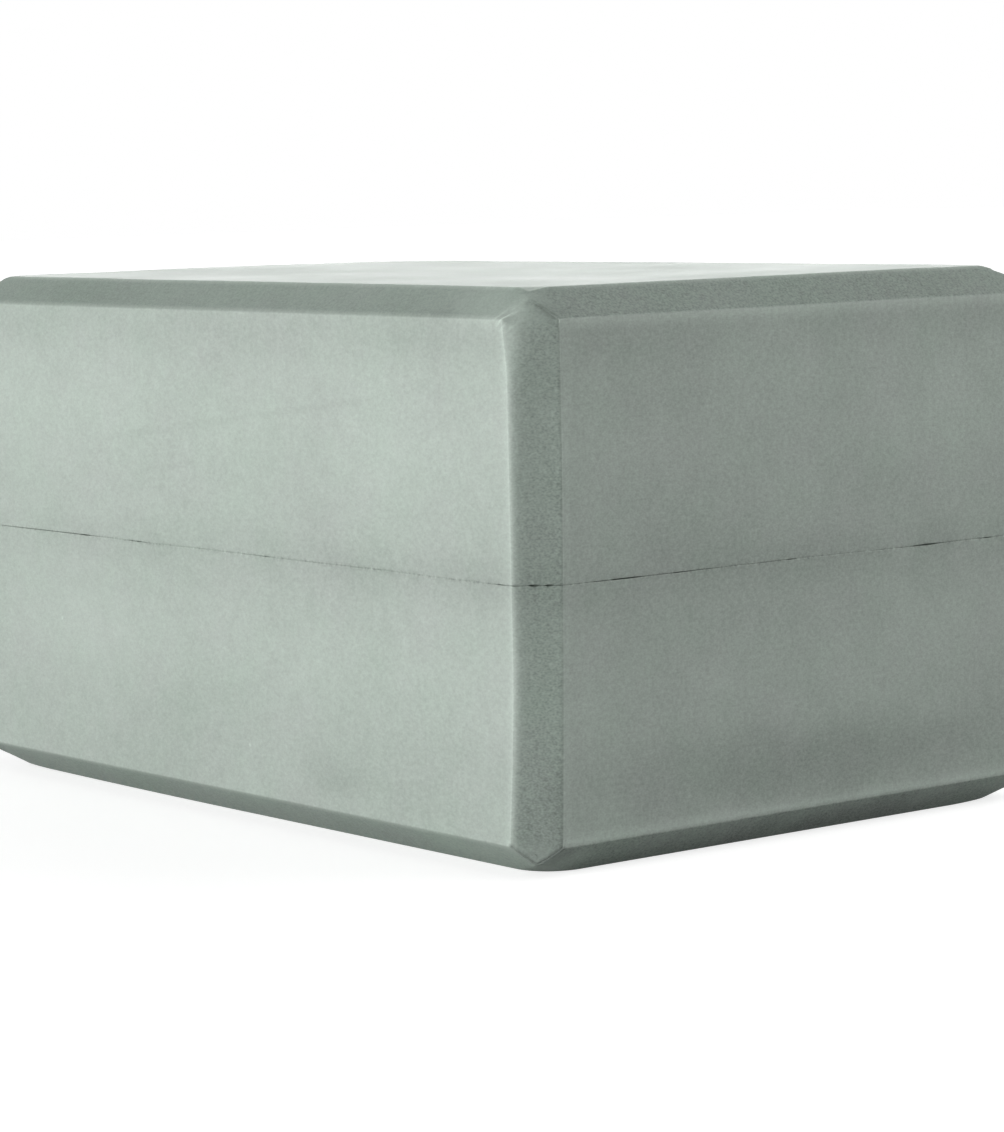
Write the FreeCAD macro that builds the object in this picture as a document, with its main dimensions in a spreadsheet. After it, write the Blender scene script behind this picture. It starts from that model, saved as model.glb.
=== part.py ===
"""Yoga block: two foam slabs bonded face to face by an adhesive film, with bevelled edges.

Frame: origin at the middle of the base, +X along the block's length, +Y across its width, +Z up.
"""
import FreeCAD, Part
import os
import Sketcher

SIZES = (
    ("block_length", 230.0),
    ("block_width", 152.0),
    ("upper_thickness", 62.4),
    ("lower_thickness", 62.4),
    ("corner_bevel", 7.5),
    ("rim_bevel_run", 7.5),
    ("rim_bevel_rise", 6.5),
    ("seam_break", 0.4),
    ("film_thickness", 0.2),
    ("film_setback", 0.3),
)
START, END = 1, 2
ROOT_POINT = (-1, START)
UPRIGHT = FreeCAD.Vector(0, 0, 1)
TURNED_OVER = FreeCAD.Rotation(FreeCAD.Vector(1, 0, 0), 180)

doc = FreeCAD.newDocument("yoga_block")


def make_sheet():
    """The driving dimensions, in millimetres, one named cell each."""
    sheet = doc.addObject("Spreadsheet::Sheet", "Sizes")
    for row, (alias, value) in enumerate(SIZES, start=1):
        sheet.set(f"A{row}", alias)
        sheet.set(f"B{row}", str(value))
        sheet.setAlias(f"B{row}", alias)
    doc.recompute()
    return sheet


def make_body(label):
    """An empty body; its label names the piece."""
    body = doc.addObject("PartDesign::Body", label)
    body.Label = label
    return body


def make_sketch(body, name, plane_role):
    """A sketch on one of the body's own origin planes."""
    sketch = body.newObject("Sketcher::SketchObject", name)
    plane = next(item for item in body.Origin.OriginFeatures if item.Role == plane_role)
    sketch.AttachmentSupport = [(plane, "")]
    sketch.MapMode = "FlatFace"
    return sketch


def add_outline(sketch, corners):
    """A closed outline through the corners; returns the number of its first line."""
    points = [FreeCAD.Vector(x, y, 0) for x, y in corners]
    first = sketch.GeometryCount
    last = first + len(points) - 1
    for start, end in zip(points, points[1:] + points[:1]):
        sketch.addGeometry(Part.LineSegment(start, end), False)
    for line in range(first, last + 1):
        following = first if line == last else line + 1
        sketch.addConstraint(Sketcher.Constraint("Coincident", line, END, following, START))
    return first


def bind(sketch, kind, start, end, expression):
    """A horizontal or vertical distance from one point to another, tied to the sheet."""
    index = sketch.addConstraint(Sketcher.Constraint(kind, *start, *end, 1.0))
    sketch.setExpression(f"Constraints[{index}]", expression)


def add_centred_rectangle(sketch, length, width):
    """A rectangle about the sketch's origin, sized by two expressions."""
    front = add_outline(sketch, ((-1, -1), (1, -1), (1, 1), (-1, 1)))
    right, back, left = front + 1, front + 2, front + 3
    for line in (front, back):
        sketch.addConstraint(Sketcher.Constraint("Horizontal", line))
    for line in (right, left):
        sketch.addConstraint(Sketcher.Constraint("Vertical", line))
    sketch.addConstraint(Sketcher.Constraint("Symmetric", front, START, back, START, *ROOT_POINT))
    bind(sketch, "DistanceX", (front, START), (front, END), length)
    bind(sketch, "DistanceY", (right, START), (right, END), width)


def add_bevel_triangles(sketch, span, thickness):
    """The two corners that a rim bevel takes off a profile of this span and thickness."""
    right_top = add_outline(sketch, ((1, 2), (2, 2), (2, 1)))
    right_side = right_top + 1
    left_top = add_outline(sketch, ((-1, 2), (-2, 2), (-2, 1)))
    left_side = left_top + 1
    for top, side in ((right_top, right_side), (left_top, left_side)):
        sketch.addConstraint(Sketcher.Constraint("Horizontal", top))
        sketch.addConstraint(Sketcher.Constraint("Vertical", side))
        bind(sketch, "DistanceY", (side, END), (side, START), "Sizes.rim_bevel_rise")
        bind(sketch, "DistanceY", ROOT_POINT, (side, START), thickness)
    bind(sketch, "DistanceX", (right_top, START), (right_top, END), "Sizes.rim_bevel_run")
    bind(sketch, "DistanceX", (left_top, END), (left_top, START), "Sizes.rim_bevel_run")
    bind(sketch, "DistanceX", ROOT_POINT, (right_side, START), f"{span} / 2")
    bind(sketch, "DistanceX", (left_side, START), ROOT_POINT, f"{span} / 2")


def pad_rectangle(body, name, length, width, thickness):
    """A rectangular plate standing on the body's base plane."""
    sketch = make_sketch(body, f"{name}_plan", "XY_Plane")
    add_centred_rectangle(sketch, length, width)
    pad = body.newObject("PartDesign::Pad", f"{name}_pad")
    pad.Profile = sketch
    pad.setExpression("Length", thickness)
    doc.recompute()
    return pad


def chamfer(body, name, base, elements, leg):
    """Equal-legged chamfers on the named edges or faces of the base feature."""
    feature = body.newObject("PartDesign::Chamfer", name)
    feature.Base = (base, elements)
    feature.setExpression("Size", leg)
    doc.recompute()
    return feature


def upright_edges(feature):
    """The names of the feature's edges that stand along Z."""
    edges = enumerate(feature.Shape.Edges, start=1)
    return [f"Edge{number}" for number, edge in edges if is_upright(edge)]


def is_upright(edge):
    direction = edge.Vertexes[-1].Point - edge.Vertexes[0].Point
    return direction.cross(UPRIGHT).Length < 1e-6 * direction.Length


def base_face(feature):
    """The name of the feature's lowest face, the one that is bonded."""
    heights = [face.CenterOfMass.z for face in feature.Shape.Faces]
    return f"Face{heights.index(min(heights)) + 1}"


def cut_rim_bevels(body, name, plane_role, span, thickness):
    """Bevels along the two opposite rim edges that run square to the plane."""
    sketch = make_sketch(body, f"{name}_profile", plane_role)
    add_bevel_triangles(sketch, span, thickness)
    before = body.Tip.Shape.Volume
    pocket = body.newObject("PartDesign::Pocket", f"{name}_cut")
    pocket.Profile = sketch
    pocket.Type = "ThroughAll"
    pocket.Midplane = True
    doc.recompute()
    if pocket.Shape.Volume >= before:
        raise RuntimeError(f"{pocket.Name} takes nothing off {body.Label}")
    return pocket


def make_slab(label, thickness):
    """One foam layer, bonded face down: bevelled corners, bevelled rim and a fine break at the seam."""
    body = make_body(label)
    plate = pad_rectangle(body, label, "Sizes.block_length", "Sizes.block_width", thickness)
    chamfer(body, f"{label}_corners", plate, upright_edges(plate), "Sizes.corner_bevel")
    cut_rim_bevels(body, f"{label}_side_rims", "YZ_Plane", "Sizes.block_width", thickness)
    rims = cut_rim_bevels(body, f"{label}_end_rims", "XZ_Plane", "Sizes.block_length", thickness)
    chamfer(body, f"{label}_seam", rims, [base_face(rims)], "Sizes.seam_break")
    return body


def make_film():
    """The adhesive between the bonded faces, set back from their edges."""
    inset = "(Sizes.seam_break + Sizes.film_setback)"
    body = make_body("adhesive_film")
    plate = pad_rectangle(
        body,
        "adhesive_film",
        f"Sizes.block_length - 2 * {inset}",
        f"Sizes.block_width - 2 * {inset}",
        "Sizes.film_thickness",
    )
    parallel_leg = f"Sizes.corner_bevel - (2 - sqrt(2)) * {inset}"
    chamfer(body, "adhesive_film_corners", plate, upright_edges(plate), parallel_leg)
    return body


def stack(lower, film, upper):
    """The lower slab lies turned over; the film and the upper slab lie on its bonded face."""
    lower.Placement = FreeCAD.Placement(FreeCAD.Vector(), TURNED_OVER)
    lower.setExpression("Placement.Base.z", "Sizes.lower_thickness")
    film.setExpression("Placement.Base.z", "Sizes.lower_thickness")
    upper.setExpression("Placement.Base.z", "Sizes.lower_thickness + Sizes.film_thickness")
    doc.recompute()


def check(pieces):
    """Stops before anything is written if a feature failed or a piece isn't one sound solid."""
    for item in doc.Objects:
        if {"Invalid", "Error"} & set(item.State):
            raise RuntimeError(f"{item.Name} failed: {item.State}")
    for piece in pieces:
        shape = piece.Shape
        if shape.isNull() or not shape.isValid() or len(shape.Solids) != 1:
            raise RuntimeError(f"{piece.Label} isn't one sound solid")


def export(pieces):
    os.makedirs("parts", exist_ok=True)
    for piece in pieces:
        piece.Shape.exportStep(f"parts/{piece.Label}.step")
        print(piece.Label, round(piece.Shape.Volume), "mm3", piece.Shape.BoundBox)


make_sheet()
upper_slab = make_slab("upper_foam_slab", "Sizes.upper_thickness")
lower_slab = make_slab("lower_foam_slab", "Sizes.lower_thickness")
film = make_film()
stack(lower_slab, film, upper_slab)
block = (upper_slab, lower_slab, film)
check(block)
export(block)
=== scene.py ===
"""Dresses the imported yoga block: foam slabs with routed bevels, the ragged glue line and a pale studio.

Everything is in metres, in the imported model's frame: +X along the block, +Y across it, +Z up from the floor.
"""
import math
import random

import bmesh
import bpy
from bpy.props import FloatProperty, FloatVectorProperty, IntProperty, PointerProperty
from mathutils import Matrix, Vector, noise


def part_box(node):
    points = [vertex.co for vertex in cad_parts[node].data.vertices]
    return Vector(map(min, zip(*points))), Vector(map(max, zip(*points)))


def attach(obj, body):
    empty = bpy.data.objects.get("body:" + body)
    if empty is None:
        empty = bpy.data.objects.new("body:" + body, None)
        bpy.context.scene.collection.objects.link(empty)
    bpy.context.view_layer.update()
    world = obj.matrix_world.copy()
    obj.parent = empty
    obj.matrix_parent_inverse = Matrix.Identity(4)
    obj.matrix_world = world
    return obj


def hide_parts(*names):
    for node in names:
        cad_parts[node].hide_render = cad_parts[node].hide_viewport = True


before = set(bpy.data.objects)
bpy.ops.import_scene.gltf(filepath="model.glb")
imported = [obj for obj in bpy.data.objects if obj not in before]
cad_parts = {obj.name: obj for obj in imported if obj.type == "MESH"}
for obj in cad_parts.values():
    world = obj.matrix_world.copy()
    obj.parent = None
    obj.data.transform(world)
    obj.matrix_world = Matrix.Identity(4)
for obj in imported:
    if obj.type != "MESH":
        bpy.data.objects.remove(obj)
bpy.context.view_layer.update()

bl_info = {
    "name": "Yoga Block Builder",
    "version": (1, 0, 0),
    "blender": (4, 5, 0),
    "location": "3D View > Sidebar > Yoga Block",
    "description": "Models a two-layer foam yoga block over its packed frame",
    "category": "Object",
}

UPPER_LOW, UPPER_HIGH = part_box("upper_foam_slab")
LOWER_LOW, LOWER_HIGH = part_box("lower_foam_slab")
FILM_LOW, FILM_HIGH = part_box("adhesive_film")
BLOCK_MIDDLE = (LOWER_LOW + UPPER_HIGH) / 2
BLOCK_HALF = (UPPER_HIGH - LOWER_LOW) / 2
SEAM_HEIGHT = (LOWER_HIGH.z + UPPER_LOW.z) / 2
PHOTO_WIDTH, PHOTO_HEIGHT = 1004, 1132
MM = 0.001
TINY = 1e-6
FLUSH = 0.05 * MM
DIAGONAL = math.sqrt(0.5)
WHITE = (1, 1, 1, 1)
# The block's upright corners, by their sides of its middle along X and Y.
CORNERS = ((-1, -1), (-1, 1), (1, -1), (1, 1))
NEAR_CORNER = (1, -1)

# Vertex marks for the foam's material: grooves, where shade is painted, cut-open bevels, pale borders that are
# partly rubbed wear and partly a painted edge highlight, and the seam's edge.
GROOVE_SHADE_MARK = "groove"
CUT_MARK = "cut"
PALE_BORDER_MARK = "worn"
SEAM_MARK = "seam"

# Where crumbs are missing from the seam: X, Y and half length in millimetres, and how far it gapes.
SEAM_CHIPS = (
    (110.8, -72.7, 1.1, 1.7),
    (113.1, -70.4, 0.9, 1.5),
    (115.0, -50.7, 5.0, 1.0),
    (115.0, 38.0, 3.0, 0.9),
    (-60.0, -76.0, 2.5, 0.9),
)
# Where the seam is bonded tight: X, Y and half length in millimetres.
SEAM_BONDS = ((112.0, -71.5, 9.0), (115.0, -64.5, 9.0), (115.0, -42.0, 4.5), (96.0, -76.0, 7.0))

# Where the near top corner's cuts met off their plan, in millimetres: how far inside the block's box the spot
# lies along X, Y and Z, its move along them, and how far round it the move runs out.
CORNER_PULLS = (
    ((3.75, 3.75, 3.25), (-1.5, 1.1, 1.2), 7),
    ((7.5, 7.5, 0.5), (-2.0, 0.2, 0.0), 8),
)
# Corners that are worn or a little out of true, in millimetres: X, Y, Z, reach along each, and lift.
CORNER_LIFTS = (
    ((-115, -76, 0), (26, 26, 8), 1.6),
    ((-115, -76, 0), (110, 110, 9), 0.7),
    ((115, 76, 0), (26, 26, 8), 2.0),
    ((-115, 76, 125), (330, 80, 40), -1.0),
)

# Stains, pale patches, painted shade and a painted reflection, in millimetres: centre X, Y, Z, reach X, Y, Z,
# and change of tone. The first three run all round the block: lighter bands round both slabs' middles, and
# painted shade below the top rim.
SKIN_PATCHES = (
    ((0, 0, 93), (2000, 2000, 24), 0.07),
    ((0, 0, 40), (2000, 2000, 20), 0.07),
    ((0, 0, 114), (2000, 2000, 9), -0.055),
    ((41.8, -76, 13.6), (17, 8, 8), -0.13),
    ((98, -76, 66), (8, 8, 16), -0.06),
    ((80, -76, 117), (34, 8, 9), -0.06),
    ((-45, -76, 8), (50, 8, 14), -0.04),
    ((58, -76, 82), (26, 8, 16), 0.04),
    ((-92, -76, 98), (34, 8, 22), 0.04),
    ((115, -60.2, 34.1), (8, 11, 15), 0.06),
    ((115, -23.2, 37.8), (8, 13, 10), 0.05),
    ((115, 46.8, 98.4), (8, 12, 20), 0.06),
    ((115, -28, 67), (8, 34, 9), -0.09),
    ((115, 41, 62), (8, 12, 15), -0.10),
    # Painted shade low on the right end and on its base rim.
    ((115, 0, 17), (8, 90, 14), -0.24),
    ((115, 15, 1), (14, 75, 7), -0.37),
    ((112, -66.5, 2), (8, 10, 6), 0.36),
    ((92, -73, 3), (36, 9, 7), 0.13),
    ((112, 35, 122), (10, 40, 8), -0.08),
    ((-60, -73, 122), (42, 10, 8), -0.1),
    ((102, -73, 122), (32, 10, 7), 0.24),
    ((-115, 20, 84), (8, 30, 18), -0.05),
    ((-115, -34, 30), (8, 24, 14), 0.05),
    ((-30, 76, 96), (40, 8, 16), 0.04),
    ((64, 76, 28), (22, 8, 12), -0.07),
    # A painted reflection: a pale patch on the top face.
    ((30, 5, 125), (50, 40, 8), 0.07),
    ((-60, 30, 125), (40, 30, 8), -0.05),
    ((40, 20, 0), (50, 34, 8), -0.05),
)
# Where a blunt cutter tore the foam at the near top corner: centre and reach X, Y, Z in millimetres.
TORN_SPOT = ((106.2, -75.0, 119.0), (4.5, 3.5, 4.0))
# Where a painted highlight lies on the near bevel's shoulder below that corner, in the same way.
SHOULDER_HIGHLIGHT = ((108.0, -75.0, 112.0), (3.2, 3.2, 10.0))
# Pale crumbs that stick to the skin, and in the last two rows painted highlights on the seam's lip: centre X,
# Y, Z and radius in millimetres.
SKIN_CRUMBS_AND_GLINTS = (
    (-72.2, -76, 41.1, 0.7),
    (8.4, -76, 18.0, 0.7),
    (115, 47.8, 100.6, 0.7),
    # These two are painted highlights on the seam's lip beside its pits.
    (110.6, -72.9, 63.1, 0.6),
    (113.0, -70.5, 63.1, 0.5),
)
# Faint arcs of the splitting knife on the near long side: height at X = 0, slope, and first and last X.
KNIFE_ARCS = ((93.0, 0.119, -54, 56), (84.8, 0.157, -34, -10))

# The foam's patterns, in millimetres.
CELL_SIZE, SPECK_SIZE, FLECK_SIZE, RAGGED_SIZE = 0.9, 1.1, 5.5, 9.0
HUE_SIZE, SEAM_DARKENING_SIZE, CLOUD_SIZE = 17.0, 26.0, 42.0
# How the cells and the brushed streaks are squeezed along X, Y and Z.
CELL_SQUEEZE, BRUSH_SQUEEZE = (0.75, 0.75, 1.1), (0.8, 0.8, 0.06)
# Where the clouds of the hues are read, and their colour.
HUE_SHIFT, HUE_TINT = (310, 170, 90), (0.016, -0.004, 0.012)
# How strongly the grain shows on the skin, and what cut foam, the ends and the smooth long rims add to that.
GRAIN_LEVELS = {
    "Cells": (0.045, 0.03, 0.018, -0.035),
    "Dust": (0.05, 0.09, 0.025, -0.07),
    "Pores": (-0.01, -0.05, 0.0, 0.04),
}
# Heights in millimetres over which the brushed streaks and the painted shade on the upright bevels' feet come
# in.
BRUSHED_ZONE, FOOT_ZONE = (84.0, 122.0), (30.0, 8.0)
# How far from the middle zones come in, in millimetres: the ends along, the upright bevels along plus across,
# and the long rims across and up.
END_ZONE, UPRIGHT_ZONE = (113.4, 114.6), (178.0, 181.0)
LONG_RIM_ZONE, RIM_LEVEL_ZONE = (64.0, 69.0), (53.0, 57.0)
# Heights in millimetres between which painted shade darkens cut foam, and the change: near the floor, on the
# lower bevels and on the top rims.
CUT_PAINTED_SHADES = ((7.0, 0.5, -0.15), (45.0, 12.0, -0.09), (114.0, 119.5, -0.11))

# The lamps: direction from the block's middle, and width and height in metres. All stand at one distance.
SOFTBOXES = {
    "key": ((-0.2, -1, 0.06), 1.6, 1.0),
    "side": ((0.5, 0.85, 0.9), 1.6, 1.6),
    "high": ((1, 0.2, 1.2), 1.6, 1.6),
    "back": ((-0.75, 0.62, 0.15), 2.4, 0.8),
}
LAMP_DISTANCE = 2.2
FLOOR_SIZE = 12
FLOOR_DROP = 0.02 * MM
GLOW_FADE = (0.15, 0.75)


# Settings

def length(name, description, size, low=0):
    """A size, given in millimetres."""
    return FloatProperty(name=name, description=description, default=size * MM, min=low * MM, unit="LENGTH")


def colour(name, description, value):
    return FloatVectorProperty(
        name=name, description=description, default=value, size=3, min=0, max=1, subtype="COLOR")


def spot(name, description, *place):
    """A place, given in millimetres."""
    default = [value * MM for value in place]
    return FloatVectorProperty(
        name=name, description=description, default=default, size=3, subtype="TRANSLATION")


def level(name, description, value):
    return FloatProperty(name=name, description=description, default=value, min=0)


class FoamSizes(bpy.types.PropertyGroup):
    """Sizes of the foam slabs' cut edges and of their hand-made unevenness."""

    corner_bevel: length("Corner Bevel", "Leg of the bevel on the upright corners", 7.5, 1)
    rim_run: length("Rim Bevel Run", "Leg of the rim bevel along the flat face", 7.5, 1)
    base_run: length("Base Bevel Run", "Leg of the lower rim's bevel along the base, after some wear", 6.2, 1)
    rim_rise: length("Rim Bevel Rise", "Leg of the rim bevel down the side", 6.5, 1)
    mitre_round: length("Mitre Rounding", "Width rounded off where two rim bevels meet", 0.7)
    top_roll: length("Top Roll", "Width over which an upright bevel's top rolls into the long rim", 3, 0.1)
    ledge_depth: length("Ledge Depth", "How far an upright bevel's top lies back under the end's rim", 0.4)
    ledge_reach: length("Ledge Reach", "How far down an upright bevel its ledge runs out", 2.2, 0.1)
    top_corner_radius: length("Top Corner Radius", "Rounding of the top face's corners, seen from above", 0.4)
    base_corner_radius: length("Base Corner Radius", "Rounding of the base's corners, seen from above", 10)
    corner_droop: length("Corner Droop", "How far the top face's corners sink where the cutter turned", 0.8)
    droop_reach: length("Droop Reach", "How far from the top face's corners the sinking starts", 4, 0.5)
    tight_strip: length("Tight Edge Strip", "Width of the strip that keeps a cut edge tight", 0.22, 0.05)
    soft_strip: length("Soft Edge Strip", "Width of the strip where a bevel rolls into its edge", 1.1, 0.05)
    roll_height: length("Roll Height", "How far an upright bevel bulges beside the long side", 0.4)
    roll_width: length("Roll Width", "Width over which an upright bevel rolls into the long side", 1.6, 0.1)
    groove_depth: length("Groove Depth", "Depth of the line that the cutter leaves beside a bevel", 0.45)
    lip_height: length("Lip Height", "How far an end's border stands proud of its middle", 0.1)
    lip_crest: length("Lip Crest", "How far the lip's crest lies from the edge strip", 0.6, 0.1)
    lip_fall: length("Lip Fall", "Width over which the lip falls back to the side's middle", 1.8, 0.1)
    mesh_spacing: length("Mesh Spacing", "Spacing of the cuts that carry the surface's unevenness", 6.6, 2)
    side_lean: length("Side Lean", "How far the near bevel's foot leans along the long side", 3.0, -9)
    end_lean: length("End Lean", "How far the near bevel's foot leans along the end", 2.1, -9)
    waviness: length("Waviness", "Height of the slow unevenness of the foam", 0.3)
    wave_spacing: length("Wave Spacing", "Size of the slow unevenness of the foam", 48, 1)
    ripple: length("Ripple", "Height of the short unevenness of the foam", 0.07)
    ripple_spacing: length("Ripple Spacing", "Size of the short unevenness of the foam", 11, 1)
    skin_turn: length("Skin Turn", "How far the skin's pale colour turns over an upright bevel", 0.75, 0.05)
    rim_turn: length("Rim Turn", "How far the skin's pale colour turns over a rim bevel", 0.25, 0.05)
    # The shade painted in the crease at an upright bevel's foot spreads this far.
    crease_reach: length("Crease Reach", "How far the crease at an upright bevel's foot spreads", 0.9, 0.05)
    seam_gap: length("Seam Opening", "How far a slab's bonded edge pulls back where the seam gapes", 0.04)
    seam_wander: length("Seam Wander", "How far the seam strays from a straight line", 0.2)
    glue_creep: length("Glue Creep", "How far the film's edge creeps in and out of the seam", 0.35)
    seed: IntProperty(name="Seed", description="Seed of the hand-made unevenness", default=7, min=0)


class BlockColours(bpy.types.PropertyGroup):
    """Colours of the foam, the glue line and the studio."""

    foam: colour("Foam", "Sage green of the foam's flat faces", (0.447, 0.516, 0.464))
    cut_foam: colour("Cut Foam", "Darker green of the routed bevels", (0.316, 0.377, 0.333))
    glue: colour("Glue", "Dried contact cement in the seam", (0.13, 0.155, 0.135))
    floor: colour("Floor", "Pale studio floor", (0.5, 0.5, 0.5))
    floor_glow: level("Floor Glow", "What the camera sees of the floor besides the light on it", 0.75)


class StudioSettings(bpy.types.PropertyGroup):
    """The camera and the lamps."""

    camera_place: spot("Camera Place", "Where the camera stands", 733.8, -572.8, 152.8)
    camera_aim: spot("Camera Aim", "Point in the middle of the picture", 110.27, -80.72, 67.33)
    camera_roll: FloatProperty(
        name="Camera Roll", description="Turn of the camera about its own axis",
        default=math.radians(-1.29), subtype="ANGLE")
    focal_pixels: level("Focal Length", "Focal length in pixels of the photograph", 3819.3)
    key_level: level("Key Level", "Power of the left softbox", 48)
    side_level: level("Side Level", "Power of the right softbox", 19)
    high_level: level("High Level", "Power of the high softbox", 6)
    back_level: level("Back Level", "Power of the rear softbox", 16)
    ambient: level("Ambient", "Level of the even light all round", 0.15)


def settings():
    """The scene's property groups: foam sizes, colours and studio."""
    scene = bpy.context.scene
    return scene.foam_sizes, scene.block_colours, scene.studio_settings


# Modelling helpers

def make_active(piece):
    """Selects an object alone, for the operators that follow."""
    bpy.ops.object.select_all(action="DESELECT")
    piece.select_set(True)
    bpy.context.view_layer.objects.active = piece


def name_active(name):
    """Names the active object and its mesh, and opens it in edit mode."""
    piece = bpy.context.active_object
    piece.name = name
    piece.data.name = name
    bpy.ops.object.mode_set(mode="EDIT")
    return piece


def start_block(name, low, high):
    """A box between two corners, as a mesh object at the origin, left in edit mode."""
    bpy.ops.object.select_all(action="DESELECT")
    bpy.ops.mesh.primitive_cube_add(size=1, location=(low + high) / 2, scale=high - low)
    bpy.ops.object.transform_apply(location=True, rotation=True, scale=True)
    piece = name_active(name)
    bpy.ops.mesh.select_mode(type="FACE")
    return piece


def select_everything():
    bpy.ops.mesh.select_all(action="SELECT")


def cut_off(point, normal):
    """Cuts away what lies on the normal's side of a plane and closes the cut."""
    select_everything()
    bpy.ops.mesh.bisect(
        plane_co=point, plane_no=normal, use_fill=True, clear_outer=True, threshold=TINY)


def slice_across(axis, places, select=select_everything):
    """Slices what a selection picks square to an axis at each place, taking nothing away."""
    normal = Vector((0, 0, 0))
    normal[axis] = 1
    for place in places:
        select()
        bpy.ops.mesh.bisect(plane_co=normal * place, plane_no=normal, threshold=TINY)


def select_parts(piece, kind, wanted):
    """Selects the faces or edges that pass a test; at least one has to."""
    bpy.ops.mesh.select_mode(type=kind)
    bpy.ops.mesh.select_all(action="DESELECT")
    mesh = bmesh.from_edit_mesh(piece.data)
    parts = mesh.faces if kind == "FACE" else mesh.edges
    chosen = [part for part in parts if wanted(part)]
    if not chosen:
        raise RuntimeError(f"nothing on {piece.name} passes {wanted.__name__}")
    for part in chosen:
        part.select_set(True)
    mesh.select_flush_mode()
    bmesh.update_edit_mesh(piece.data)


def inset_faces(piece, wanted, width, rise=0.0, together=False):
    """Insets the faces that pass a test, each by itself or as one region, and lifts what is inside."""
    select_parts(piece, "FACE", wanted)
    bpy.ops.mesh.inset(
        thickness=width, depth=rise, use_individual=not together, use_even_offset=True)


def apply_modifiers(piece):
    make_active(piece)
    for modifier in list(piece.modifiers):
        bpy.ops.object.modifier_apply(modifier=modifier.name)


def spaced(low, high, spacing):
    """Evenly spaced places from one limit to the other, about a spacing apart."""
    count = max(1, round((high - low) / spacing))
    return [low + (high - low) * step / count for step in range(count + 1)]


def ramp(value, start, end):
    """Rises smoothly from 0 at the start to 1 at the end."""
    share = min(max((value - start) / (end - start), 0), 1)
    return share * share * (3 - 2 * share)


def measure_place(place):
    """How far a place lies inside the block's box along each axis, and on which side of its middle."""
    offset = place - BLOCK_MIDDLE
    gap = Vector([BLOCK_HALF[axis] - abs(offset[axis]) for axis in (0, 1, 2)])
    return gap, Vector([math.copysign(1, offset[axis]) for axis in (0, 1, 2)])


def measured(piece):
    """Each vertex of a piece with its measured place."""
    for vertex in piece.data.vertices:
        yield vertex, *measure_place(vertex.co)


# The faces of the bevelled block, told by their normals and, inside their edge strips, by their size

FLAT_NORMAL, SIDE_NORMAL, RIM_NORMAL, UPRIGHT_NORMAL = 0.95, 0.98, 0.3, 0.2
WIDE_SIDE, WIDE_CORNER, WIDE_RIM = 5000 * MM * MM, 500 * MM * MM, 0.3 * MM


def is_flat(face):
    return abs(face.normal.z) > FLAT_NORMAL


def is_end(face):
    return abs(face.normal.x) > SIDE_NORMAL


def is_long_side(face):
    return abs(face.normal.y) > SIDE_NORMAL


def is_side(face):
    return is_end(face) or is_long_side(face)


def is_rim(face):
    return RIM_NORMAL < abs(face.normal.z) < FLAT_NORMAL


def is_corner(face):
    """An upright bevel."""
    return abs(face.normal.z) < UPRIGHT_NORMAL and not is_side(face)


def is_mitre(edge):
    """The edge where two rim bevels meet."""
    return len(edge.link_faces) == 2 and all(is_rim(face) for face in edge.link_faces)


def is_wide_end(face):
    return is_end(face) and face.calc_area() > WIDE_SIDE


def is_wide_long_side(face):
    return is_long_side(face) and face.calc_area() > WIDE_SIDE


def is_wide_corner(face):
    return is_corner(face) and face.calc_area() > WIDE_CORNER


def is_wide_rim(face):
    return is_rim(face) and min(edge.calc_length() for edge in face.edges) > WIDE_RIM


# The cage of the foam slabs

# Depths of the grooves, and strengths of the shade painted in them, as shares: upright bevel to end, upright
# bevel to rim, and rim to end.
END_GROOVE, FOOT_GROOVE, RIM_GROOVE = 0.4, 1.0, 0.1
# How pale a border is at its very edge and beside an upright bevel, partly from rubbed wear and partly as a
# painted edge highlight, and how far a side's edge is cut open.
EDGE_PALENESS, CORNER_PALENESS, EDGE_CUT = 0.3, 0.25, 0.25
# Where the upright bevels are sliced, as shares of their width.
BEVEL_SLICES = (0.3, 0.5, 0.7)
# Depths below the top between which an upright bevel flares, and how much more the skin turns over there.
FLARE_START, FLARE_END, SKIN_FLARE = 18 * MM, 8 * MM, 2.8


def cut_bevels(sizes):
    """Takes the upright corners and both rims off the block with flat cuts, so that they meet in mitres."""
    for side_x, side_y in CORNERS:
        corner = BLOCK_MIDDLE + Vector((side_x * BLOCK_HALF.x, side_y * BLOCK_HALF.y, 0))
        corner.x -= side_x * sizes.corner_bevel
        cut_off(corner, (side_x, side_y, 0))
    for up, run in ((-1, sizes.base_run), (1, sizes.rim_run)):
        for axis in (0, 1):
            for side in (-1, 1):
                rim = BLOCK_MIDDLE.copy()
                rim[axis] += side * BLOCK_HALF[axis]
                rim.z += up * (BLOCK_HALF.z - sizes.rim_rise)
                normal = Vector((0, 0, up / sizes.rim_rise))
                normal[axis] = side / run
                cut_off(rim, normal.normalized())


def groove_share(near, far):
    """How deep the groove between two faces is, and how strong the shade painted in it, as a share; tops that
    roll into the long rims have none.
    """
    rolled_off = is_rim(far) and far.normal.z > 0 and abs(far.normal.y) > abs(far.normal.x)
    if is_corner(near) and is_end(far):
        return END_GROOVE
    if is_corner(near) and is_rim(far) and not rolled_off:
        return FOOT_GROOVE
    if (is_rim(near) and is_end(far)) or (is_rim(far) and is_end(near)):
        return RIM_GROOVE
    return 0


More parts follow.
